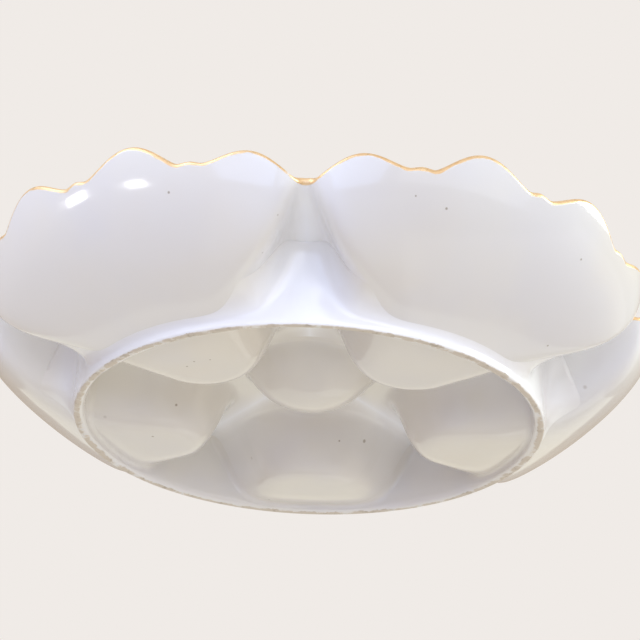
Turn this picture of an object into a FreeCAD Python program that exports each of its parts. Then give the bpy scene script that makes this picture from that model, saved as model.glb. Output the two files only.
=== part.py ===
"""Porcelain egg tray: five egg lobes round a small centre well, on one tall foot ring.

The tray stands on the XY plane, +Z up, with the origin at the middle of the foot ring's tread.
Each lobe is a fifth of the dish. Its underside is one smooth skin, given by a formula in polar
coordinates (radius, angle from the middle of the lobe, height):
  web     flat band beside the centre well
  flank   the rounded inner end of the egg basin
  floor   the lowest part of the basin
  wall    a superellipse from the floor out and up to the scalloped rim
The upper skin is the lower one moved by the wall's thickness along its normal.
"""
import FreeCAD, Part
import math
import os
import Sketcher

from FreeCAD import Vector

DRIVING = [
    ("lobe_count", 5, "lobes round the centre"),
    ("first_lobe", -54, "deg, middle of the first lobe from +X"),
    ("foot_radius", 57.5, "outside of the foot ring"),
    ("foot_wall", 2.6, "thickness of the foot ring"),
    ("foot_tread", 1.2, "flat width that the tray stands on"),
    ("foot_bevel", 0.7, "rise of the rounded edges beside the tread"),
    ("foot_blank", 21.0, "height of the ring before it is scribed to the lobes"),
    ("web_radius", 19.0, "where the lobes meet the centre well"),
    ("web_height", 16.7, "underside of the web and of the valleys between basins"),
    ("floor_inner", 39.1, "inner radius of the basin floor"),
    ("floor_outer", 43.4, "outer radius of the basin floor"),
    ("floor_height", 0.9, "underside of the basin floor above the table"),
    ("flank_inner", 2.1, "power of the basin's sides at its floor"),
    ("flank_outer", 14.0, "power of the basin's sides at the rim"),
    ("flank_ease", 3.0, "above 1 the sides steepen later on the way out"),
    ("valley_inner", 4.0, "power of the valley between basins, beside the floor"),
    ("valley_outer", 1.5, "the same at the rim, a lower power makes a tighter valley"),
    ("valley_swell", 1.8, "extra height of the valley part of the way out"),
    ("wall_middle", 2.0, "superellipse power of the outer wall at the middle of a lobe"),
    ("wall_crease", 2.5, "the same at a crease, a higher power makes a fuller wall"),
    ("wall_end", 86, "deg, how far round the superellipse the wall goes"),
    ("reach_middle", 87.4, "radius of the wall's top at the middle of a lobe"),
    ("reach_crease", 82.2, "radius of the wall's top at a crease"),
    ("reach_power", 4, "power of the change between the two"),
    ("top_middle", 34.2, "height of the wall's unscalloped top at the middle of a lobe"),
    ("top_crease", 25.4, "height of the wall's unscalloped top at a crease"),
    ("notch_angle", 19.4, "deg, from the middle of a lobe to the notch between its scallops"),
    ("peak_middle", 30.6, "height of the two middle scallops"),
    ("peak_side", 26.6, "height of the two side scallops"),
    ("dip_middle", 26.6, "height of the notch at the middle of a lobe"),
    ("dip_side", 24.5, "height of the notches between middle and side scallops"),
    ("dip_crease", 22.1, "height of the notch at a crease"),
    ("arch_power", 1.35, "below 2 makes the scallops fuller"),
    ("notch_width", 3.8, "deg, width of the flat bracket in each notch"),
    ("body_floor", 3.0, "thickness of the porcelain at the floor"),
    ("body_rim", 1.8, "thickness of the porcelain at the rim"),
    ("gilt_band", 1.0, "height of the gold line on the rim"),
    ("well_radius", 16.4, "radius of the centre well's dome at the web, underside"),
    ("well_floor", 6.9, "lowest point of the centre well's underside"),
]

ANGLE_STEPS = 76      # grid steps across a lobe
FLANK_STEPS = 7       # grid steps from the web to the floor
FLOOR_STEPS = 2       # grid steps across the floor
WALL_STEPS = 12       # grid steps from the floor to the rim
GILT_STEPS = 3        # grid steps up the gold line
EDGE_BLEND = 6        # power that keeps the upper skin in the lobe's end planes

doc = FreeCAD.newDocument("egg_tray")
sheet = doc.addObject("Spreadsheet::Sheet", "dims")
for row, (name, value, note) in enumerate(DRIVING, start=1):
    sheet.set("A%d" % row, name)
    sheet.set("B%d" % row, str(value))
    sheet.set("C%d" % row, note)
    sheet.setAlias("B%d" % row, name)
doc.recompute()


def size(name):
    """A driving dimension, read from the sheet."""
    return float(sheet.get(name))


HALF = 180.0 / size("lobe_count")          # deg, from the middle of a lobe to its crease


def mix(start, end, share):
    return start + (end - start) * share


def flank_rise(across, power, valley):
    """0 at the middle of a basin, 1 at the valley beside it."""
    return 1 - max(1 - across ** (2 * power), 0.0) ** valley


def scallop_height(angle):
    """Height of the finished rim at an angle from the middle of a lobe."""
    off_middle, between = min(abs(angle), HALF), size("notch_angle")
    if off_middle < between:
        width, part, peak = between, off_middle / between, size("peak_middle")
        notch = mix(size("dip_middle"), size("dip_side"), part)
    else:
        width, peak = HALF - between, size("peak_side")
        part = (off_middle - between) / width
        notch = mix(size("dip_side"), size("dip_crease"), part)
    edge = size("notch_width") / 2 / width
    arch = min(max((part - edge) / (1 - 2 * edge), 0.0), 1.0)
    return notch + (peak - notch) * math.sin(math.pi * arch) ** size("arch_power")


def wall_point(angle, climb):
    """Radius and height on the outer wall; climb is 0 at the floor and 1 at the plain top."""
    across = abs(angle) / HALF
    end = math.radians(size("wall_end"))
    power = 2 / mix(size("wall_middle"), size("wall_crease"), across ** 2)
    out = (math.sin(climb * end) / math.sin(end)) ** power
    up = (1 - math.cos(climb * end) ** power) / (1 - math.cos(end) ** power)
    reach = mix(size("reach_middle"), size("reach_crease"), across ** size("reach_power"))
    top = mix(size("top_middle"), size("top_crease"), across ** 2)
    side = flank_rise(across, mix(size("flank_inner"), size("flank_outer"), out ** size("flank_ease")),
                      mix(size("valley_inner"), size("valley_outer"), out))
    valley = size("web_height") + size("valley_swell") * math.sin(math.pi * min(out, 1.0)) ** 2
    foot = mix(size("floor_height"), valley, side)
    return mix(size("floor_outer"), reach, out), mix(foot, top, up)


def bowl_point(angle, inward):
    """Radius and height inside the basin; inward is 0 at the floor's edge and 1 at the web."""
    radius = mix(size("floor_inner"), size("web_radius"), inward)
    across = abs(angle) / HALF
    chord = math.sin(math.radians(abs(angle))) / math.sin(math.radians(HALF))
    side = mix(across, radius / size("floor_inner") * chord, inward ** 2)
    off_middle = min(math.hypot(inward, side), 1.0)
    return radius, mix(size("floor_height"), size("web_height"),
                       flank_rise(off_middle, size("flank_inner"), size("valley_inner")))


def skin_point(angle, way):
    """Underside at a way of 0..1 web to floor, 1..2 across the floor, 2..3 up the wall."""
    if way < 1:
        return bowl_point(angle, 1 - way)
    if way < 2:
        height = bowl_point(angle, 0)[1]
        return mix(size("floor_inner"), size("floor_outer"), way - 1), height
    return wall_point(angle, min(way - 2, 1.0))


def climb_to(angle, height):
    """The climb at which the wall reaches a height, by halving."""
    low, high = 0.0, 1.0
    for _ in range(40):
        middle = (low + high) / 2
        if wall_point(angle, middle)[1] < height:
            low = middle
        else:
            high = middle
    return (low + high) / 2


def skin_normal(angle, way):
    """Unit normal of the underside, towards the food side, as (out, round, up)."""
    step = 1e-3
    r_low, z_low = skin_point(angle, max(way - step, 0))
    r_high, z_high = skin_point(angle, min(way + step, 3))
    r_left, z_left = skin_point(angle - step, way)
    r_right, z_right = skin_point(angle + step, way)
    radius = skin_point(angle, way)[0]
    turn = math.radians(2 * step)
    r_way, z_way = r_high - r_low, z_high - z_low
    r_turn, z_turn = (r_right - r_left) / turn, (z_right - z_left) / turn
    out = -z_way * radius
    around = (z_way * r_turn - r_way * z_turn) * (1 - (abs(angle) / HALF) ** EDGE_BLEND)
    up = r_way * radius
    if way < 1:
        out *= 1 - (1 - way) ** EDGE_BLEND
    length = math.sqrt(out ** 2 + around ** 2 + up ** 2)
    return out / length, around / length, up / length


def skin_vector(angle, way, upper):
    """A point of the lower or upper skin of the lobe whose middle is on +X."""
    radius, height = skin_point(angle, way)
    around = 0.0
    if upper:
        thick = mix(size("body_floor"), size("body_rim"), max(way - 2, 0))
        normal = skin_normal(angle, way)
        radius += thick * normal[0]
        around = thick * normal[1]
        height += thick * normal[2]
    turn = math.radians(angle)
    return Vector(radius * math.cos(turn) - around * math.sin(turn),
                  radius * math.sin(turn) + around * math.cos(turn), height)


def angles():
    return [mix(-HALF, HALF, step / ANGLE_STEPS) for step in range(ANGLE_STEPS + 1)]


def steps(start, end, count):
    return [mix(start, end, step / count) for step in range(count + 1)]


def closed_slab(ways_at):
    """Solid between the two skins, over the ways that ways_at gives for each angle."""
    skins = []
    for upper in (False, True):
        grid = [[skin_vector(angle, way, upper) for way in ways_at(angle)] for angle in angles()]
        surface = Part.BSplineSurface()
        surface.interpolate(grid)
        skins.append(surface)
    faces = [surface.toShape() for surface in skins]
    u_first, u_last, v_first, v_last = skins[0].bounds()
    for u_edge in (u_first, u_last):
        faces.append(Part.makeRuledSurface(*[s.uIso(u_edge).toShape() for s in skins]))
    for v_edge in (v_first, v_last):
        faces.append(Part.makeRuledSurface(*[s.vIso(v_edge).toShape() for s in skins]))
    shell = Part.makeShell(faces)
    shell.sewShape()
    solid = Part.makeSolid(shell)
    if solid.Volume < 0:
        solid.reverse()
    return solid


def lobe_ways(angle):
    """From the web to just under the gold line."""
    top = climb_to(angle, scallop_height(angle) - size("gilt_band"))
    return (steps(0, 1, FLANK_STEPS)[:-1] + steps(1, 2, FLOOR_STEPS)[:-1]
            + steps(2, 2 + top, WALL_STEPS))


def gilt_ways(angle):
    """Across the gold line, to the edge of the rim."""
    low = climb_to(angle, scallop_height(angle) - size("gilt_band"))
    return steps(2 + low, 2 + climb_to(angle, scallop_height(angle)), GILT_STEPS)


def turned(number):
    """Placement of the lobe with this number."""
    turn = size("first_lobe") + number * 360.0 / size("lobe_count")
    return FreeCAD.Placement(Vector(), FreeCAD.Rotation(Vector(0, 0, 1), turn))


def origin_plane(body, role):
    for feature in body.Origin.OriginFeatures:
        if feature.Role == role:
            return feature
    raise ValueError(role)


def revolved_body(label, draw):
    """Body turned about Z from a sketch that draw() fills in on the XZ plane."""
    body = doc.addObject("PartDesign::Body", label)
    sketch = body.newObject("Sketcher::SketchObject", label + "_section")
    sketch.AttachmentSupport = [(origin_plane(body, "XZ_Plane"), "")]
    sketch.MapMode = "FlatFace"
    draw(sketch)
    doc.recompute()
    turning = body.newObject("PartDesign::Revolution", label + "_turned")
    turning.Profile = sketch
    turning.ReferenceAxis = (sketch, ["V_Axis"])
    turning.Angle = 360
    body.Tip = turning
    doc.recompute()
    return body


def bind(sketch, kind, geometry, expression):
    """Dimension on a sketch point, from its origin, tied to the sheet."""
    index, point = geometry
    number = sketch.addConstraint(Sketcher.Constraint(kind, -1, 1, index, point, 1.0))
    sketch.setExpression("Constraints[%d]" % number, expression)


def draw_foot(sketch):
    """Ring section: flat tread between two bevelled edges, straight sides, flat top."""
    outer, wall = size("foot_radius"), size("foot_wall")
    tread, bevel, tall = size("foot_tread"), size("foot_bevel"), size("foot_blank")
    ease = (wall - tread) / 2
    corners = [(outer - ease, 0), (outer, bevel), (outer, tall),
               (outer - wall, tall), (outer - wall, bevel), (outer - wall + ease, 0)]
    last = len(corners) - 1
    for place, (x, y) in enumerate(corners):
        next_x, next_y = corners[place + 1 if place < last else 0]
        sketch.addGeometry(Part.LineSegment(Vector(x, y, 0), Vector(next_x, next_y, 0)))
    for place in range(len(corners)):
        follower = place + 1 if place < last else 0
        sketch.addConstraint(Sketcher.Constraint("Coincident", place, 2, follower, 1))
    outside, inside = "dims.foot_radius", "(dims.foot_radius - dims.foot_wall)"
    easing = "(dims.foot_wall - dims.foot_tread) / 2"
    expressions = [(outside + " - " + easing, None), (outside, "dims.foot_bevel"),
                   (outside, "dims.foot_blank"), (inside, "dims.foot_blank"),
                   (inside, "dims.foot_bevel"), (inside + " + " + easing, None)]
    for place, (across, up) in enumerate(expressions):
        bind(sketch, "DistanceX", (place, 1), across)
        if up:
            bind(sketch, "DistanceY", (place, 1), up)
        else:
            sketch.addConstraint(Sketcher.Constraint("PointOnObject", place, 1, -1))


def draw_well(sketch):
    """Centre well section: a spherical cap, top and bottom concentric, inside a flat web."""
    web, edge = size("web_radius"), size("well_radius")
    low, high, thick = size("well_floor"), size("web_height"), size("body_floor")
    drop = high - low
    ball = (edge ** 2 + drop ** 2) / (2 * drop)
    centre = Vector(0, low + ball, 0)
    bowl = ball - thick
    lip = math.sqrt(bowl ** 2 - (centre.y - high - thick) ** 2)
    axis = Vector(0, 0, 1)

    def arc(radius, end_x, end_y):
        end = math.atan2(end_y - centre.y, end_x)
        return Part.ArcOfCircle(Part.Circle(centre, axis, radius), -math.pi / 2, end)

    sketch.addGeometry(arc(ball, edge, high))
    sketch.addGeometry(Part.LineSegment(Vector(edge, high, 0), Vector(web, high, 0)))
    sketch.addGeometry(Part.LineSegment(Vector(web, high, 0), Vector(web, high + thick, 0)))
    sketch.addGeometry(Part.LineSegment(Vector(web, high + thick, 0), Vector(lip, high + thick, 0)))
    sketch.addGeometry(arc(bowl, lip, high + thick))
    sketch.addGeometry(Part.LineSegment(Vector(0, low + thick, 0), Vector(0, low, 0)))
    under, flat, side, over, cup, stem = range(6)
    for first, second in (((under, 2), (flat, 1)), ((flat, 2), (side, 1)), ((side, 2), (over, 1)),
                          ((over, 2), (cup, 2)), ((cup, 1), (stem, 1)), ((stem, 2), (under, 1)),
                          ((under, 3), (cup, 3))):
        sketch.addConstraint(Sketcher.Constraint("Coincident", *first, *second))
    sketch.addConstraint(Sketcher.Constraint("Horizontal", flat))
    sketch.addConstraint(Sketcher.Constraint("Vertical", side))
    sketch.addConstraint(Sketcher.Constraint("Horizontal", over))
    sketch.addConstraint(Sketcher.Constraint("PointOnObject", under, 3, -2))
    sketch.addConstraint(Sketcher.Constraint("PointOnObject", under, 1, -2))
    sketch.addConstraint(Sketcher.Constraint("PointOnObject", cup, 1, -2))
    bind(sketch, "DistanceX", (flat, 1), "dims.well_radius")
    bind(sketch, "DistanceY", (flat, 1), "dims.web_height")
    bind(sketch, "DistanceX", (side, 1), "dims.web_radius")
    bind(sketch, "DistanceY", (side, 2), "dims.web_height + dims.body_floor")
    bind(sketch, "DistanceY", (stem, 2), "dims.well_floor")
    bind(sketch, "DistanceY", (stem, 1), "dims.well_floor + dims.body_floor")


def formula_feature(label, shape, placement=FreeCAD.Placement()):
    """Named piece whose shape comes from the formulas above."""
    feature = doc.addObject("Part::Feature", label)
    feature.Shape = shape
    feature.Placement = placement
    return feature


# The five lobes, one shape turned to five places.
lobe_shape = closed_slab(lobe_ways)
lobes = [formula_feature("egg_lobe_%d" % (number + 1), lobe_shape, turned(number))
         for number in range(int(size("lobe_count")))]

# The centre well closes the dish between the lobes' inner ends.
centre_well = revolved_body("centre_well", draw_well)

# The foot ring is turned too tall, then scribed to the underside of the lobes.
foot_blank = revolved_body("foot_blank", draw_foot)
pieces = foot_blank.Shape.cut([lobe.Shape for lobe in lobes]).Solids
foot_ring = formula_feature("foot_ring", min(pieces, key=lambda solid: solid.BoundBox.ZMin))

# The gold line round the rim, one closed band that follows every scallop.
gilt_arc = closed_slab(gilt_ways)
gilt_arcs = []
for number in range(int(size("lobe_count"))):
    copy = gilt_arc.copy()
    copy.Placement = turned(number)
    gilt_arcs.append(copy)
gilt_rim = formula_feature("gilt_rim", gilt_arcs[0].fuse(gilt_arcs[1:]))

doc.recompute()
for item in doc.Objects:
    if {"Invalid", "Error"} & set(item.State):
        raise RuntimeError("%s is in state %s" % (item.Label, item.State))

sub_parts = lobes + [centre_well, foot_ring, gilt_rim]
for item in sub_parts:
    if item.Shape.isNull() or not item.Shape.isValid() or not item.Shape.Solids:
        raise RuntimeError("%s has no valid solid" % item.Label)

os.makedirs("parts", exist_ok=True)
for item in sub_parts:
    item.Shape.exportStep("parts/%s.step" % item.Label)
    box = item.Shape.BoundBox
    print("%-12s solids %d volume %9.1f mm3  z %.2f to %.2f" % (
        item.Label, len(item.Shape.Solids), item.Shape.Volume, box.ZMin, box.ZMax))
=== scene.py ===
import math

import bpy
import numpy as np
from mathutils import Matrix, Vector


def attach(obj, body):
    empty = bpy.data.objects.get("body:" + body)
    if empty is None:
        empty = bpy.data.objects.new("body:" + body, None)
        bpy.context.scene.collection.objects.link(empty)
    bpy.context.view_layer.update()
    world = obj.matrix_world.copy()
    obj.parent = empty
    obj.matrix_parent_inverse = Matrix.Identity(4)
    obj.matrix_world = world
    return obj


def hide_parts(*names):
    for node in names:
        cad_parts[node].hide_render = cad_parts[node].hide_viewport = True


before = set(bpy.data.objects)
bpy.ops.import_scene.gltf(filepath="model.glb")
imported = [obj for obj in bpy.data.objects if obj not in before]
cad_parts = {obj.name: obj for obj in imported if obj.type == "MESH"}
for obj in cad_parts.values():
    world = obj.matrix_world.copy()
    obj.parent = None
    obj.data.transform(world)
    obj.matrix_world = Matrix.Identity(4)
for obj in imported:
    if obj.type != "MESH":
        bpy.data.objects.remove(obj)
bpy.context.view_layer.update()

# A porcelain egg tray: five egg lobes round a centre well, on a foot ring, with a gilt scalloped rim.
# Sizes are in millimetres and degrees; meshes are written in metres by build_mesh().
MM = 0.001
LOBES = 5
HALF = 36.0                   # from the middle of a lobe to its crease
NOTCH = 19.4                  # from the middle of a lobe to the notch between its scallops
FIRST_LOBE = -54.0

FOOT_OUTER, FOOT_INNER = 57.5, 54.9
OUTER_EASE, INNER_EASE = (0.5, 0.7), (1.5, 2.0)   # width and height of the tread's rounded edges
FLARE_EASE = 10               # a high power keeps the foot's inner flare wide until close to a crease
SKIRT_MIDDLE, SKIRT_CREASE, SKIRT_SWELL = 2.2, 2.6, 6.4   # how far the foot's outer skirt reaches out
SKIRT_POWER = 2.5             # a higher power moves the swell towards the crease
SKIRT_CORNER, SKIRT_START = 0.8, 0.25   # shares of the skirt's height where its curve bends and begins
FILLET_REACH, FILLET_CREASE = 3.5, 0.35   # the foot's inner fillet, and its share at a crease
FILLET_CORNER, FILLET_START, FILLET_SHARE = 0.4, 0.15, 0.9   # least heights of its curve, and its own share
TREAD_SHARE = 0.35            # the tread's rounding takes at most this share of the foot's height
BURIED = 0.9                  # how far the foot's top sits inside the lobes' wall
WEB_RADIUS, WEB_HEIGHT = 19.0, 16.7
FLOOR_INNER, FLOOR_OUTER, FLOOR_HEIGHT = 39.1, 43.4, 0.9
FLANK_INNER, FLANK_OUTER, FLANK_EASE = 3.0, 14.0, 3.0   # steepness of a basin's sides, floor to rim
VALLEY_INNER, VALLEY_OUTER = 8.0, 1.5   # width of the valley between basins, floor to rim
CREASE_ROUND, CREASE_FADE = 0.035, 0.15   # rounding of the crease, and how far it reaches
VALLEY_SWELL = 1.8            # extra height of the valley part of the way out
WALL_MIDDLE, WALL_CREASE, WALL_END = 2.0, 2.5, math.radians(86)
REACH_MIDDLE, REACH_CREASE, REACH_POWER = 87.4, 82.2, 4
TOP_MIDDLE, TOP_CREASE = 34.2, 25.4
BODY_FLOOR, BODY_RIM = 3.0, 1.8   # thickness of the wall
WELL_RADIUS, WELL_FLOOR = 16.4, 6.9
WELL_EDGE_UNDER, WELL_EDGE_OVER = 1.6, 2.2   # softness of the well's edge on its two sides

PEAKS = (30.5, 26.5)          # middle and side scallops
DIPS = (26.6, 24.5, 22.1)     # notch heights: lobe's middle, between scallops, crease
BRACKET = 1.9                 # half width of the small bracket in each notch
BRACKET_RISE = 0.35
ARCH_POWER = 1.35
RIM_LINE = 1.1                # height of the gold line


def mix(start, end, share):
    return start + (end - start) * share


def fold(angle):
    """Angle from the middle of the lobe it is in, 0..36, with the crease slightly rounded."""
    plain = np.abs((np.asarray(angle, float) + HALF) % (2 * HALF) - HALF)
    off_crease = 1 - plain / HALF
    drop = CREASE_ROUND * np.exp(-(off_crease / CREASE_FADE) ** 2)
    rounded = np.sqrt(off_crease ** 2 + CREASE_ROUND ** 2) - drop
    return HALF * np.clip(1 - rounded, 0, 1)


def flank_rise(across, power, valley):
    """0 at the middle of a basin, 1 at the valley beside it; a low valley power makes a tight valley."""
    return 1 - (1 - across ** (2 * power)) ** valley


def scallop_height(angle):
    """Height of the rim: arches with a small flat bracket in every notch."""
    plain = np.abs((np.asarray(angle, float) + HALF) % (2 * HALF) - HALF)
    inner = plain < NOTCH
    width = np.where(inner, NOTCH, HALF - NOTCH)
    part = np.where(inner, plain, plain - NOTCH) / width
    low = np.where(inner, mix(DIPS[0], DIPS[1], part), mix(DIPS[1], DIPS[2], part))
    peak = np.where(inner, PEAKS[0], PEAKS[1])
    edge = BRACKET / width
    arch = np.clip((part - edge) / (1 - 2 * edge), 0, 1)
    off_notch = np.minimum(part, 1 - part) / edge
    bump = np.where(off_notch < 1, np.cos(off_notch * math.pi / 2) ** 2, 0)
    return low + (peak - low) * np.sin(math.pi * arch) ** ARCH_POWER + BRACKET_RISE * bump


def wall_reach(angle):
    return mix(REACH_MIDDLE, REACH_CREASE, (fold(angle) / HALF) ** REACH_POWER)


def wall_foot(angle, out):
    across = fold(angle) / HALF
    side = flank_rise(across, mix(FLANK_INNER, FLANK_OUTER, out ** FLANK_EASE),
                      mix(VALLEY_INNER, VALLEY_OUTER, out))
    return mix(FLOOR_HEIGHT, WEB_HEIGHT + VALLEY_SWELL * np.sin(math.pi * out) ** 2, side)


def wall_power(angle):
    return mix(WALL_MIDDLE, WALL_CREASE, (fold(angle) / HALF) ** 2)


def wall_point(angle, climb):
    power = 2 / wall_power(angle)
    out = (np.sin(climb * WALL_END) / math.sin(WALL_END)) ** power
    up = (1 - np.cos(climb * WALL_END) ** power) / (1 - math.cos(WALL_END) ** power)
    top = mix(TOP_MIDDLE, TOP_CREASE, (fold(angle) / HALF) ** 2)
    return mix(FLOOR_OUTER, wall_reach(angle), out), mix(wall_foot(angle, out), top, up)


def bowl_height(angle, radius):
    inward = (FLOOR_INNER - radius) / (FLOOR_INNER - WEB_RADIUS)
    inward = np.clip(inward, 0, 1)
    across = fold(angle) / HALF
    chord = np.sin(np.radians(fold(angle))) / math.sin(math.radians(HALF))
    side = mix(across, radius / FLOOR_INNER * chord, inward ** 2)
    off_middle = np.minimum(np.hypot(inward, side), 1)
    return mix(FLOOR_HEIGHT, WEB_HEIGHT, flank_rise(off_middle, FLANK_INNER, VALLEY_INNER))


def skin_point(angle, way):
    """Radius and height of the underside at way 0..1 web to floor, 1..2 floor, 2..3 wall."""
    climb = np.clip(way - 2, 1e-6, 1)
    wall_r, wall_z = wall_point(angle, climb)
    radius = np.where(way < 1, mix(WEB_RADIUS, FLOOR_INNER, way), mix(FLOOR_INNER, FLOOR_OUTER, way - 1))
    radius = np.where(way > 2, wall_r, radius)
    return radius, np.where(way > 2, wall_z, bowl_height(angle, np.minimum(radius, FLOOR_INNER)))


def underside_height(angle, radius):
    """Height of the underside at a radius outside the basin floor's middle."""
    out = np.clip((radius - FLOOR_OUTER) / (wall_reach(angle) - FLOOR_OUTER), 0, 1)
    power = 2 / wall_power(angle)
    sine = out ** (1 / power) * math.sin(WALL_END)
    up = (1 - np.sqrt(1 - sine ** 2) ** power) / (1 - math.cos(WALL_END) ** power)
    top = mix(TOP_MIDDLE, TOP_CREASE, (fold(angle) / HALF) ** 2)
    on_wall = mix(wall_foot(angle, out), top, up)
    return np.where(radius > FLOOR_OUTER, on_wall, bowl_height(angle, np.minimum(radius, FLOOR_INNER)))


def climb_to(angle, height):
    low, high = np.zeros_like(height), np.ones_like(height)
    for _ in range(40):
        middle = (low + high) / 2
        below = wall_point(angle, middle)[1] < height
        low, high = np.where(below, middle, low), np.where(below, high, middle)
    return (low + high) / 2


def polar(angle, radius, height):
    turn = np.radians(angle)
    return np.stack([radius * np.cos(turn), radius * np.sin(turn), height + 0 * turn], -1)


def skin_xyz(angle, way):
    return polar(angle, *skin_point(angle, way))


def unit(vectors):
    return vectors / np.maximum(np.linalg.norm(vectors, axis=-1, keepdims=True), 1e-12)


def skin_normal(angle, way):
    """Unit normal of the underside, towards the food side."""
    step = 1e-3
    along = skin_xyz(angle, np.minimum(way + step, 3)) - skin_xyz(angle, np.maximum(way - step, 0))
    around = skin_xyz(angle + step * 10, way) - skin_xyz(angle - step * 10, way)
    return unit(np.cross(along, around))


def build_mesh(name, points, faces, material, node, normals=None, smooth_below=40):
    """A closed mesh from points in millimetres, standing for one CAD node."""
    mesh = bpy.data.meshes.new(name)
    mesh.from_pydata((points * MM).tolist(), [], faces)
    mesh.validate()
    mesh.shade_smooth()
    if normals is None:
        mesh.set_sharp_from_angle(angle=math.radians(smooth_below))
    else:
        mesh.normals_split_custom_set(normals)
    piece = bpy.data.objects.new(name, mesh)
    bpy.context.scene.collection.objects.link(piece)
    mesh.materials.append(material)
    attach(piece, "root")
    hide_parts(node)
    return piece


def ring_faces(rows, columns, rows_closed):
    """Quads of a grid whose columns close into a loop."""
    faces = []
    for row in range(rows if rows_closed else rows - 1):
        after = (row + 1) % rows
        for column in range(columns):
            beside = (column + 1) % columns
            faces.append((row * columns + column, after * columns + column,
                          after * columns + beside, row * columns + beside))
    return faces


# ---------------------------------------------------------------- materials

def node_tree(name):
    material = bpy.data.materials.new(name)
    material.use_nodes = True
    tree = material.node_tree
    shader = tree.nodes["Principled BSDF"]
    return material, tree, shader


class Nodes:
    """Short calls for the nodes of one material."""

    def __init__(self, tree):
        self.tree = tree
        place = tree.nodes.new("ShaderNodeTexCoord").outputs
        self.coords, self.facing = place["Object"], place["Normal"]

    def link(self, source, socket):
        if hasattr(source, "links"):
            self.tree.links.new(source, socket)
        else:
            socket.default_value = source

    def math(self, kind, first, second=0.0, third=0.0):
        node = self.tree.nodes.new("ShaderNodeMath")
        node.operation = kind
        for place, value in enumerate((first, second, third)):
            self.link(value, node.inputs[place])
        return node.outputs[0]

    def noise(self, scale, detail, rough, where=None):
        node = self.tree.nodes.new("ShaderNodeTexNoise")
        self.link(where or self.coords, node.inputs["Vector"])
        node.inputs["Scale"].default_value = scale
        node.inputs["Detail"].default_value = detail
        node.inputs["Roughness"].default_value = rough
        return node.outputs["Fac"]

    def shifted(self, offset):
        node = self.tree.nodes.new("ShaderNodeMapping")
        self.link(self.coords, node.inputs["Vector"])
        node.inputs["Location"].default_value = offset
        return node.outputs[0]

    def from_axis(self):
        """Distance from the tray's axis."""
        node = self.tree.nodes.new("ShaderNodeMapping")
        self.link(self.coords, node.inputs["Vector"])
        node.inputs["Scale"].default_value = (1, 1, 0)
        return self.distance_to((0, 0, 0), node.outputs[0])

    def range(self, value, low, high, to_low=0.0, to_high=1.0):
        node = self.tree.nodes.new("ShaderNodeMapRange")
        node.interpolation_type = "SMOOTHSTEP"
        for socket, entry in zip(node.inputs, (value, low, high, to_low, to_high)):
            self.link(entry, socket)
        return node.outputs["Result"]

    def blend(self, share, first, second, kind="MIX"):
        node = self.tree.nodes.new("ShaderNodeMix")
        node.data_type, node.blend_type = "RGBA", kind
        self.link(share, node.inputs["Factor"])
        for value, socket in ((first, node.inputs["A"]), (second, node.inputs["B"])):
            colour = [s for s in node.inputs if s.type == "RGBA" and s.name == socket.name][0]
            self.link(value if hasattr(value, "links") else (*value, 1.0), colour)
        return [s for s in node.outputs if s.type == "RGBA"][0]

    def upward(self, vector):
        node = self.tree.nodes.new("ShaderNodeSeparateXYZ")
        self.link(vector, node.inputs[0])
        return node.outputs["Z"]

    def distance_to(self, point, where):
        node = self.tree.nodes.new("ShaderNodeVectorMath")
        node.operation = "DISTANCE"
        self.link(where, node.inputs[0])
        node.inputs[1].default_value = point
        return node.outputs["Value"]

    def bump(self, height, strength, distance, normal=None):
        node = self.tree.nodes.new("ShaderNodeBump")
        node.inputs["Strength"].default_value = strength
        node.inputs["Distance"].default_value = distance
        self.link(height, node.inputs["Height"])
        if normal is not None:
            self.link(normal, node.inputs["Normal"])
        return node.outputs["Normal"]


GLAZE = (0.82, 0.815, 0.80)
GLAZE_COOL = (0.76, 0.765, 0.81)
GLAZE_WARM = (0.83, 0.80, 0.735)
SPECK = (0.26, 0.20, 0.13)
FOOT_INSIDE_TINT = (0.95, 0.93, 0.89)     # multiplies the underside's glaze inside the foot ring: darker and warmer there
PAINTED_LIGHT_GLAZE = (0.92, 0.94, 0.98)    # painted light: a brighter, bluer glaze in the creases and in the hollow outside the foot ring
BISCUIT = (0.64, 0.58, 0.50)
DIRT = (0.24, 0.19, 0.13)
GOLD = (0.95, 0.70, 0.40)
GOLD_DARK = (0.80, 0.52, 0.25)
PINHOLE_SHARE, SPECK_SHARE = 0.5, 0.65
SKIRT_LIGHT_SHARE, SKIRT_LIGHT_BLEND, SKIRT_LIGHT_END = 0.9, 0.4, 66   # painted light round the foot, faded out by 66 mm
FOOT_INSIDE_TINT_BLEND = 1               # half width of the tint's soft edge, in millimetres
BARE_LOW, BARE_HIGH, BARE_RAGGED = 0.58, 0.72, 1.1   # the bare tread's ragged edge, in millimetres
GRIME_SHARE, EDGE_SHARE = 0.5, 0.7
CREASE_LIGHT_POWER = 6              # a high power keeps the painted light close to the crease


# Iron specks on the underside: azimuth, distance from the axis and size, rounded.
SPECKS = (
    (66, 34, 0.6), (75, 28, 0.3), (103, 53, 0.3),              # far basin
    (181, 33, 0.4), (169, 40, 0.4),                            # left basin
    (-120, 43, 0.25), (-125, 44, 0.3), (-129, 43, 0.3),        # near left basin, inside the foot ring
    (-110, 83, 0.35), (-94, 78, 0.3), (-97, 71, 0.25),         # near left basin, outside it
    (-74, 83, 0.25), (-69, 82, 0.35), (-43, 82, 0.3), (-36, 67, 0.3),
)


def speck_share(nodes):
    """1 on a speck, 0 elsewhere."""
    share = 0.0
    for azimuth, radius, size in SPECKS:
        height = underside_height(azimuth - FIRST_LOBE, radius)
        away = nodes.distance_to(polar(azimuth, radius, height) * MM, nodes.coords)
        spot = nodes.range(away, 0.45 * size * MM, 1.1 * size * MM, 1, 0)
        share = nodes.math("MAXIMUM", spot, share)
    return share


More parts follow.
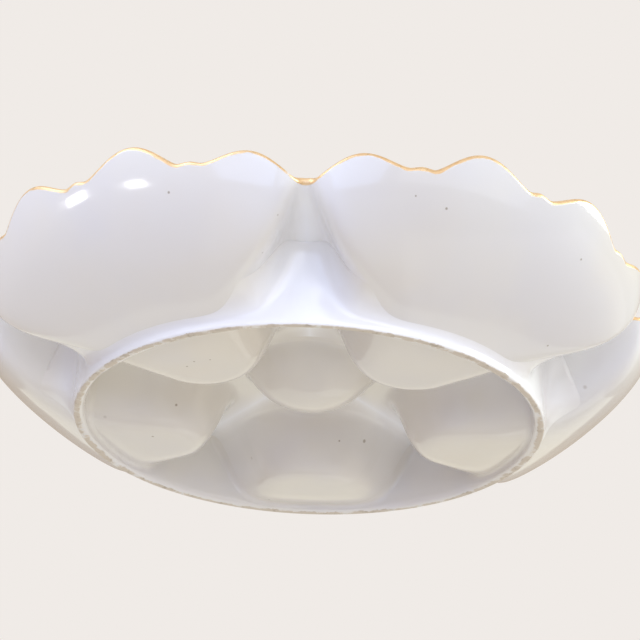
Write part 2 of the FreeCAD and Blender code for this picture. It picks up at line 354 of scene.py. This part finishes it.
def glaze_colour(nodes):
    """Glaze that pools faintly cool and warm, with pinholes and specks."""
    cool = nodes.range(nodes.noise(22, 3, 0.6), 0.42, 0.66)
    warm = nodes.range(nodes.noise(17, 3, 0.6, where=nodes.shifted((3.1, 1.7, 0.4))), 0.45, 0.68)
    colour = nodes.blend(nodes.math("MULTIPLY", cool, 0.55), GLAZE, GLAZE_COOL)
    colour = nodes.blend(nodes.math("MULTIPLY", warm, 0.55), colour, GLAZE_WARM)
    inside = nodes.range(nodes.from_axis(), (FOOT_INNER - FOOT_INSIDE_TINT_BLEND) * MM,
                         (FOOT_INNER + FOOT_INSIDE_TINT_BLEND) * MM, 1, 0)
    underside = nodes.range(nodes.upward(nodes.facing), 0.05, 0.3, 1, 0)
    # darker, warmer glaze on the underside inside the foot ring
    colour = nodes.blend(nodes.math("MULTIPLY", inside, underside), colour, FOOT_INSIDE_TINT, "MULTIPLY")
    cells = nodes.tree.nodes.new("ShaderNodeTexVoronoi")
    cells.inputs["Scale"].default_value = 120
    nodes.link(nodes.coords, cells.inputs["Vector"])
    near = nodes.range(cells.outputs["Distance"], 0.035, 0.10, 1, 0)
    chosen = nodes.tree.nodes.new("ShaderNodeSeparateColor")
    nodes.link(cells.outputs["Color"], chosen.inputs[0])
    rare = nodes.math("GREATER_THAN", chosen.outputs[0], 0.93)
    pinhole = nodes.math("MULTIPLY", nodes.math("MULTIPLY", near, rare), PINHOLE_SHARE)
    speck = nodes.math("MAXIMUM", pinhole, nodes.math("MULTIPLY", speck_share(nodes), SPECK_SHARE))
    return nodes.blend(speck, colour, SPECK)


def glaze_bump(nodes):
    """Slow waviness of a dipped glaze over a pressed body, and a fine orange peel."""
    slow = nodes.bump(nodes.noise(38, 2, 0.5), 0.12, 0.0016)
    return nodes.bump(nodes.noise(420, 2, 0.5), 0.03, 0.0003, slow)


def skirt_painted_light(nodes):
    """Share of painted light, a brighter glaze, in the hollow outside the foot ring."""
    from_axis = nodes.from_axis()
    begins = nodes.range(from_axis, (FOOT_OUTER - SKIRT_LIGHT_BLEND) * MM, FOOT_OUTER * MM, 0, SKIRT_LIGHT_SHARE)
    return nodes.math("MULTIPLY", begins, nodes.range(from_axis, FOOT_OUTER * MM, SKIRT_LIGHT_END * MM, 1, 0))


def tread(nodes):
    """Where the foot stands bare of glaze, and its colour there: grimy in patches, darker up the tread's
    rounded sides.
    """
    height = nodes.upward(nodes.coords)
    ragged = nodes.math("MULTIPLY_ADD", nodes.noise(260, 5, 0.65), BARE_RAGGED * MM, height)
    bare = nodes.range(ragged, BARE_LOW * MM, BARE_HIGH * MM, 1, 0)
    grime = nodes.math("MULTIPLY", nodes.range(nodes.noise(340, 6, 0.7), 0.50, 0.70), GRIME_SHARE)
    # darker up the tread's rounded sides, above where it stands
    edge = nodes.math("MULTIPLY", nodes.range(height, 0.08 * MM, 0.3 * MM), EDGE_SHARE)
    return bare, nodes.blend(nodes.math("MAXIMUM", grime, edge), BISCUIT, DIRT)


def porcelain_material(name, bare_tread=False):
    material, tree, shader = node_tree(name)
    nodes = Nodes(tree)
    colour = glaze_colour(nodes)
    # painted light: the glaze is brighter and bluer towards each crease
    crease = tree.nodes.new("ShaderNodeAttribute")
    crease.attribute_name = "crease"
    colour = nodes.blend(crease.outputs["Fac"], colour, PAINTED_LIGHT_GLAZE)
    rough = nodes.range(nodes.noise(60, 4, 0.6), 0.3, 0.75, 0.07, 0.16)
    if bare_tread:
        bare, bare_colour = tread(nodes)
        # painted light: brighter glaze on the foot's skirt, fading outwards
        colour = nodes.blend(bare, nodes.blend(skirt_painted_light(nodes), colour, PAINTED_LIGHT_GLAZE), bare_colour)
        rough = nodes.math("MULTIPLY_ADD", bare, 0.6, rough)
    tree.links.new(colour, shader.inputs["Base Color"])
    tree.links.new(rough, shader.inputs["Roughness"])
    tree.links.new(glaze_bump(nodes), shader.inputs["Normal"])
    shader.inputs["IOR"].default_value = 1.52
    shader.inputs["Coat Weight"].default_value = 0.25
    shader.inputs["Coat Roughness"].default_value = 0.03
    return material


def gilt_material():
    """Burnished gold line, rubbed through to the glaze in places along its lower edge."""
    material, tree, shader = node_tree("gilt_line")
    nodes = Nodes(tree)
    line = tree.nodes.new("ShaderNodeAttribute")
    line.attribute_name = "over_rim"
    edge = nodes.math("MULTIPLY_ADD", nodes.noise(300, 4, 0.6), 0.30, line.outputs["Fac"])
    gold = nodes.range(edge, 0.16, 0.24)
    rubbed = nodes.range(nodes.noise(170, 5, 0.7, where=nodes.shifted((0.7, 0.2, 0.9))), 0.60, 0.67, 1, 0)
    gold = nodes.math("MULTIPLY", gold, rubbed)
    tone = nodes.blend(nodes.range(nodes.noise(90, 5, 0.7), 0.35, 0.7), GOLD, GOLD_DARK)
    tree.links.new(nodes.blend(gold, GLAZE, tone), shader.inputs["Base Color"])
    tree.links.new(nodes.math("MULTIPLY", gold, 0.4), shader.inputs["Metallic"])
    tree.links.new(nodes.range(nodes.noise(500, 4, 0.6), 0.3, 0.7, 0.22, 0.42), shader.inputs["Roughness"])
    tree.links.new(nodes.bump(nodes.noise(700, 3, 0.6), 0.15, 0.0002), shader.inputs["Normal"])
    return material


porcelain = porcelain_material("porcelain_glaze")
foot_porcelain = porcelain_material("porcelain_foot", bare_tread=True)
gilt = gilt_material()


# ---------------------------------------------------------------- pieces

LOBE_STEPS, WEB_STEPS, FLOOR_STEPS, WALL_STEPS = 180, 33, 4, 56
LOW_WAYS = np.concatenate([np.linspace(0, 1, WEB_STEPS + 1)[:-1], np.linspace(1, 2, FLOOR_STEPS + 1)[:-1]])


def lobe_ways(angle):
    """Ways for each angle, from the web up to just under the gold line."""
    top = climb_to(angle, scallop_height(angle) - RIM_LINE)
    wall = 2 + top[:, None] * np.linspace(0, 1, WALL_STEPS)[None]
    low = np.broadcast_to(LOW_WAYS, (len(angle), len(LOW_WAYS)))
    return np.concatenate([low, wall], 1)


def thickness(way):
    return mix(BODY_FLOOR, BODY_RIM, np.maximum(way - 2, 0))


def lobe(number):
    """One egg lobe: the underside's skin, the same skin moved by the wall's thickness, and their edges."""
    angle = np.linspace(-HALF, HALF, LOBE_STEPS + 1)
    ways = lobe_ways(angle)
    spread = angle[:, None] + 0 * ways
    under = skin_xyz(spread, ways)
    normal = skin_normal(spread, ways)
    over = under + normal * thickness(ways)[..., None]
    rows, half = under.shape[:2]
    loop = np.concatenate([under, over[:, ::-1]], 1)
    turn = math.radians(FIRST_LOBE + 2 * HALF * number)
    spin = np.array([[math.cos(turn), -math.sin(turn), 0], [math.sin(turn), math.cos(turn), 0], [0, 0, 1]])
    columns = 2 * half
    faces = ring_faces(rows, columns, False)
    vertex_normal = np.concatenate([-normal, normal[:, ::-1]], 1).reshape(-1, 3) @ spin.T
    points = loop.reshape(-1, 3) @ spin.T
    normals = []
    for face in faces:
        flat = {index % columns for index in face}
        if flat in ({half - 1, half}, {0, columns - 1}):
            corner, after, last = (points[index] for index in face[:3])
            normals.extend([tuple(unit(np.cross(after - corner, last - corner)))] * 4)
        else:
            normals.extend(tuple(vertex_normal[index]) for index in face)
    for row, flip in ((0, False), (rows - 1, True)):
        base = row * columns
        bend = math.radians(angle[row])
        outward = 1 if flip else -1
        side = np.array([-outward * math.sin(bend), outward * math.cos(bend), 0]) @ spin.T
        for step in range(half - 1):
            face = (base + step, base + step + 1, base + columns - 2 - step, base + columns - 1 - step)
            faces.append(face[::-1] if flip else face)
            normals.extend([tuple(side)] * 4)
    piece = build_mesh("Lobe_%d" % (number + 1), points, faces, porcelain,
                       "egg_lobe_%d" % (number + 1), normals)
    # painted light on the lobe: a share of brighter glaze that grows towards the creases
    crease = piece.data.attributes.new("crease", "FLOAT", "POINT")
    crease.data.foreach_set("value", np.repeat((np.abs(angle) / HALF) ** CREASE_LIGHT_POWER, columns))
    return piece


def revolved(profile, steps):
    """Points and faces of a closed profile turned about Z; its first and last points are on Z."""
    inner = profile[1:-1]
    angle = np.linspace(0, 360, steps, endpoint=False)
    grid = polar(angle[:, None], inner[None, :, 0], inner[None, :, 1]).reshape(-1, 3)
    points = np.concatenate([grid, [[0, 0, profile[0][1]], [0, 0, profile[-1][1]]]])
    count = len(inner)
    faces = []
    first, last = len(grid), len(grid) + 1
    for row in range(steps):
        after = (row + 1) % steps
        faces.append((first, after * count, row * count))
        for place in range(count - 1):
            faces.append((row * count + place, after * count + place,
                          after * count + place + 1, row * count + place + 1))
        faces.append((last, row * count + count - 1, after * count + count - 1))
    return points, faces


def soft_floor(first, second, softness):
    """Smooth minimum of two heights."""
    share = np.clip(0.5 + 0.5 * (second - first) / softness, 0, 1)
    return mix(second, first, share) - softness * share * (1 - share)


WELL_RINGS, WELL_STEPS = 60, 160
NO_WALL = 99                  # a height above everything, where the well's ball doesn't reach


def centre_well():
    """Small round well in the middle, a piece of a ball with soft edges."""
    drop = WEB_HEIGHT - WELL_FLOOR
    ball = (WELL_RADIUS ** 2 + drop ** 2) / (2 * drop)
    radius = np.linspace(0, WEB_RADIUS, WELL_RINGS)
    under = WELL_FLOOR + ball - np.sqrt(np.maximum(ball ** 2 - radius ** 2, 0))
    low = soft_floor(under, np.full_like(under, WEB_HEIGHT), WELL_EDGE_UNDER)
    low[-1] = WEB_HEIGHT
    inner = ball - BODY_FLOOR
    up = np.sqrt(np.maximum(inner ** 2 - radius ** 2, 0))
    over = np.where(radius < inner, WELL_FLOOR + ball - up, NO_WALL)
    high = soft_floor(over, np.full_like(over, WEB_HEIGHT + BODY_FLOOR), WELL_EDGE_OVER)
    high[-1] = WEB_HEIGHT + BODY_FLOOR
    profile = np.concatenate([np.stack([radius, low], 1), np.stack([radius, high], 1)[::-1]])
    points, faces = revolved(profile, WELL_STEPS)
    faces = [face[::-1] for face in faces]
    return build_mesh("Centre_well", points, faces, porcelain, "centre_well")


def bezier(start, control, end, count):
    share = np.linspace(0, 1, count)[None, :, None]
    start, control, end = (point[:, None, :] for point in (start, control, end))
    return (1 - share) ** 2 * start + 2 * share * (1 - share) * control + share ** 2 * end


FOOT_STEPS, FLARE_STEPS, STRAIGHT_STEPS, TREAD_STEPS, BURIED_STEPS = 1440, 14, 6, 7, 6
NUDGE = 0.01                  # half the step that a slope is measured over
SINK = 0.03                   # how far a flare's end sinks into the underside


def outer_skirt(local):
    """Reach of the skirt outside the foot, widest on the way from a lobe's middle to its crease."""
    eased = (1 - np.cos(np.radians(local - HALF) * LOBES + math.pi)) / 2
    return mix(SKIRT_MIDDLE, SKIRT_CREASE, eased) + SKIRT_SWELL * np.sin(math.pi * eased ** SKIRT_POWER)


def inner_fillet(local):
    """Reach of the glazed fillet inside the foot, smaller where the foot is low and at a crease."""
    across = fold(local) / HALF
    fillet = FILLET_REACH * (1 - np.exp(-underside_height(local, FOOT_INNER + 0 * local) / FILLET_REACH))
    return fillet * mix(FILLET_CREASE, 1, 1 - across ** FLARE_EASE)


def foot_side(local, wall, way, reach, edge):
    """One side of the foot's section: a flare from the underside, a straight wall, a rounded tread edge."""
    flat = 0 * local
    ease, tall = edge
    rise = np.minimum(tall, TREAD_SHARE * underside_height(local, wall + flat))
    contact_r = wall + way * reach
    contact_z = underside_height(local, contact_r)
    if way > 0:
        corner_z = mix(rise, contact_z, SKIRT_CORNER)
        start_z = mix(rise, contact_z, SKIRT_START)
    else:
        beyond = underside_height(local, contact_r + NUDGE)
        slope = (beyond - underside_height(local, contact_r - NUDGE)) / (2 * NUDGE)
        corner_z = np.maximum(contact_z - slope * way * reach, rise + FILLET_CORNER)
        start_z = np.maximum(corner_z - reach * FILLET_SHARE, rise + FILLET_START)
    flare = bezier(np.stack([contact_r, contact_z + SINK], -1), np.stack([wall + flat, corner_z], -1),
                   np.stack([wall + flat, start_z], -1), FLARE_STEPS)
    down = np.linspace(1, 0, STRAIGHT_STEPS)[None, 1:]
    straight = np.stack([wall + 0 * down + flat[:, None],
                         rise[:, None] + (start_z - rise)[:, None] * down], -1)
    turn = np.linspace(0, math.pi / 2, TREAD_STEPS)[None, 1:]
    rounded = np.stack([wall - way * ease * (1 - np.cos(turn)) + flat[:, None],
                        rise[:, None] * (1 - np.sin(turn))], -1)
    return np.concatenate([flare, straight, rounded], 1)


def foot_ring():
    """Ring with rounded tread whose sides flare into the lobes' underside."""
    angle = np.linspace(0, 360, FOOT_STEPS, endpoint=False)
    local = angle - FIRST_LOBE
    outer = foot_side(local, FOOT_OUTER, 1, outer_skirt(local), OUTER_EASE)
    inner = foot_side(local, FOOT_INNER, -1, inner_fillet(local), INNER_EASE)
    buried = []
    for share in np.linspace(0, 1, BURIED_STEPS):
        radius = mix(inner[:, 0, 0], outer[:, 0, 0], share)
        buried.append(np.stack([radius, underside_height(local, radius) + BURIED], -1))
    section = np.concatenate([outer, inner[:, ::-1], np.stack(buried, 1)], 1)
    points = polar(angle[:, None], section[..., 0], section[..., 1])
    rows, columns = points.shape[:2]
    faces = ring_faces(rows, columns, True)
    return build_mesh("Foot_ring", points.reshape(-1, 3), faces, foot_porcelain, "foot_ring",
                      smooth_below=55)


RIM_STEPS = 13


def gilt_rim():
    """Rounded edge of the rim, one closed band that follows every scallop."""
    angle = np.linspace(0, 360, LOBE_STEPS * LOBES, endpoint=False)
    local = angle - FIRST_LOBE
    low = 2 + climb_to(local, scallop_height(local) - RIM_LINE)
    step = 2e-3
    outside = polar(angle, *skin_point(local, low))
    along = unit(outside - polar(angle, *skin_point(local, low - step)))
    turned = skin_normal(local, low)
    spin = np.radians(angle - local)
    across = np.stack([turned[:, 0] * np.cos(spin) - turned[:, 1] * np.sin(spin),
                       turned[:, 0] * np.sin(spin) + turned[:, 1] * np.cos(spin), turned[:, 2]], -1)
    thick = thickness(low)[:, None]
    middle = outside + across * thick / 2
    loops = []
    for turn in np.linspace(0, math.pi, RIM_STEPS):
        loops.append(middle - across * thick / 2 * math.cos(turn) + along * RIM_LINE * math.sin(turn))
    points = np.stack(loops, 1)
    rows, columns = points.shape[:2]
    faces = [face[::-1] for face in ring_faces(rows, columns, True)]
    piece = build_mesh("Gilt_rim", points.reshape(-1, 3), faces, gilt, "gilt_rim", smooth_below=60)
    over = piece.data.attributes.new("over_rim", "FLOAT", "POINT")
    over.data.foreach_set("value", np.tile(np.linspace(0, 1, columns), rows))
    return piece


for number in range(LOBES):
    lobe(number)
centre_well()
foot_ring()
gilt_rim()


# ---------------------------------------------------------------- floor, light and camera

FLOOR_Z, FLOOR_REACH = -1.2, 4   # metres, as for the lamps and the camera

floor_mesh = bpy.data.meshes.new("floor")
corners = [(x * FLOOR_REACH, y * FLOOR_REACH, FLOOR_Z) for x, y in ((-1, -1), (1, -1), (1, 1), (-1, 1))]
floor_mesh.from_pydata(corners, [], [(0, 1, 2, 3)])
floor = bpy.data.objects.new("Floor", floor_mesh)
bpy.context.scene.collection.objects.link(floor)
floor_material, floor_tree, floor_shader = node_tree("floor_paper")
floor_shader.inputs["Base Color"].default_value = (0.80, 0.78, 0.75, 1)
floor_shader.inputs["Roughness"].default_value = 0.9
floor_mesh.materials.append(floor_material)

world = bpy.data.worlds.new("studio")
bpy.context.scene.world = world
world.use_nodes = True
BACKDROP = (0.871, 0.831, 0.799)
ROOM_LIGHT, ROOM_STRENGTH = (1.0, 0.84, 0.69), 0.51


def studio_world(tree):
    """An even pale backdrop, and a warmer, dimmer room that lights the piece."""
    backdrop = tree.nodes["Background"]
    backdrop.inputs["Color"].default_value = (*BACKDROP, 1)
    room = tree.nodes.new("ShaderNodeBackground")
    room.inputs["Color"].default_value = (*ROOM_LIGHT, 1)
    room.inputs["Strength"].default_value = ROOM_STRENGTH
    seen = tree.nodes.new("ShaderNodeLightPath").outputs["Is Camera Ray"]
    both = tree.nodes.new("ShaderNodeMixShader")
    tree.links.new(seen, both.inputs[0])
    tree.links.new(room.outputs[0], both.inputs[1])
    tree.links.new(backdrop.outputs[0], both.inputs[2])
    tree.links.new(both.outputs[0], tree.nodes["World Output"].inputs["Surface"])


studio_world(world.node_tree)


def softbox(name, azimuth, rise, distance, side, watts, colour):
    """Square lamp in a direction from the tray, turned to face it."""
    data = bpy.data.lights.new(name, "AREA")
    data.shape, data.size = "SQUARE", side
    data.energy, data.color = watts, colour
    across, lift = math.radians(azimuth), math.radians(rise)
    place = distance * Vector((math.cos(across) * math.cos(lift), math.sin(across) * math.cos(lift),
                               math.sin(lift)))
    lamp = bpy.data.objects.new(name, data)
    lamp.location = place
    lamp.rotation_euler = (-place).to_track_quat("-Z", "Y").to_euler()
    bpy.context.scene.collection.objects.link(lamp)
    return lamp


LAMP_DISTANCE = 1.0
WHITE, PALE = (1.0, 1.0, 1.0), (0.92, 1.0, 0.90)
DAYLIGHT, SKY, DEEP_SKY = (0.80, 0.88, 1.0), (0.45, 0.60, 1.0), (0.20, 0.30, 1.0)
for name, azimuth, rise, side, watts, colour in (
        ("front", -95, 8, 0.8, 3.6, SKY),
        ("front_high", -75, 30, 0.6, 1.0, DAYLIGHT),
        ("front_right", -45, 8, 0.8, 1.6, DAYLIGHT),
        ("left_high", -145, 40, 0.8, 6.0, DAYLIGHT),
        ("right_high", 0, 25, 0.5, 6.5, PALE),
        ("under_front", -90, -60, 1.3, 1.2, PALE),
        ("back_low", 90, -30, 1.3, 2.6, PALE),
        ("right_low", 20, -35, 1.3, 2.0, WHITE),
        ("left_low", -135, -35, 1.3, 1.1, DEEP_SKY)):
    softbox(name, azimuth, rise, LAMP_DISTANCE, side, watts, colour)


def light_only(lamp, piece_name):
    """The lamp lights one piece and leaves the others as they are."""
    lit = bpy.data.collections.new("lit_by_" + lamp.name)
    lit.objects.link(bpy.data.objects[piece_name])
    lamp.light_linking.receiver_collection = lit


# Two small windows glint on the near left lobe, and a soft light fills the foot's skirt.
for name, azimuth, rise, side, watts, piece_name in (
        ("window_left", -163, -6, 0.09, 0.50, "Lobe_5"),
        ("window_front", -147, -11, 0.08, 0.40, "Lobe_5"),
        ("skirt_fill", -68, 5, 0.8, 2.6, "Foot_ring")):
    light_only(softbox(name, azimuth, rise, LAMP_DISTANCE, side, watts, WHITE), piece_name)

bpy.context.scene.view_settings.view_transform = "Standard"

LENS, SENSOR = 88.8, 36
CAMERA_PLACE = (0.0129, -0.3564, -0.1545)
AIM_AZIMUTH, AIM_RISE, ROLL = (math.radians(v) for v in (1.8, 27.5, 2.35))

camera_data = bpy.data.cameras.new("camera")
camera_data.lens = LENS
camera_data.sensor_width = SENSOR
camera_data.clip_start, camera_data.clip_end = 0.01, 20
camera = bpy.data.objects.new("camera", camera_data)
bpy.context.scene.collection.objects.link(camera)
forward = Vector((-math.sin(AIM_AZIMUTH) * math.cos(AIM_RISE), math.cos(AIM_AZIMUTH) * math.cos(AIM_RISE),
                  math.sin(AIM_RISE)))
level = forward.cross(Vector((0, 0, 1))).normalized()
upright = level.cross(forward)
right = math.cos(ROLL) * level + math.sin(ROLL) * upright
up = -math.sin(ROLL) * level + math.cos(ROLL) * upright
placed = Matrix((right, up, -forward)).transposed().to_4x4()
placed.translation = CAMERA_PLACE
camera.matrix_world = placed
bpy.context.scene.camera = camera
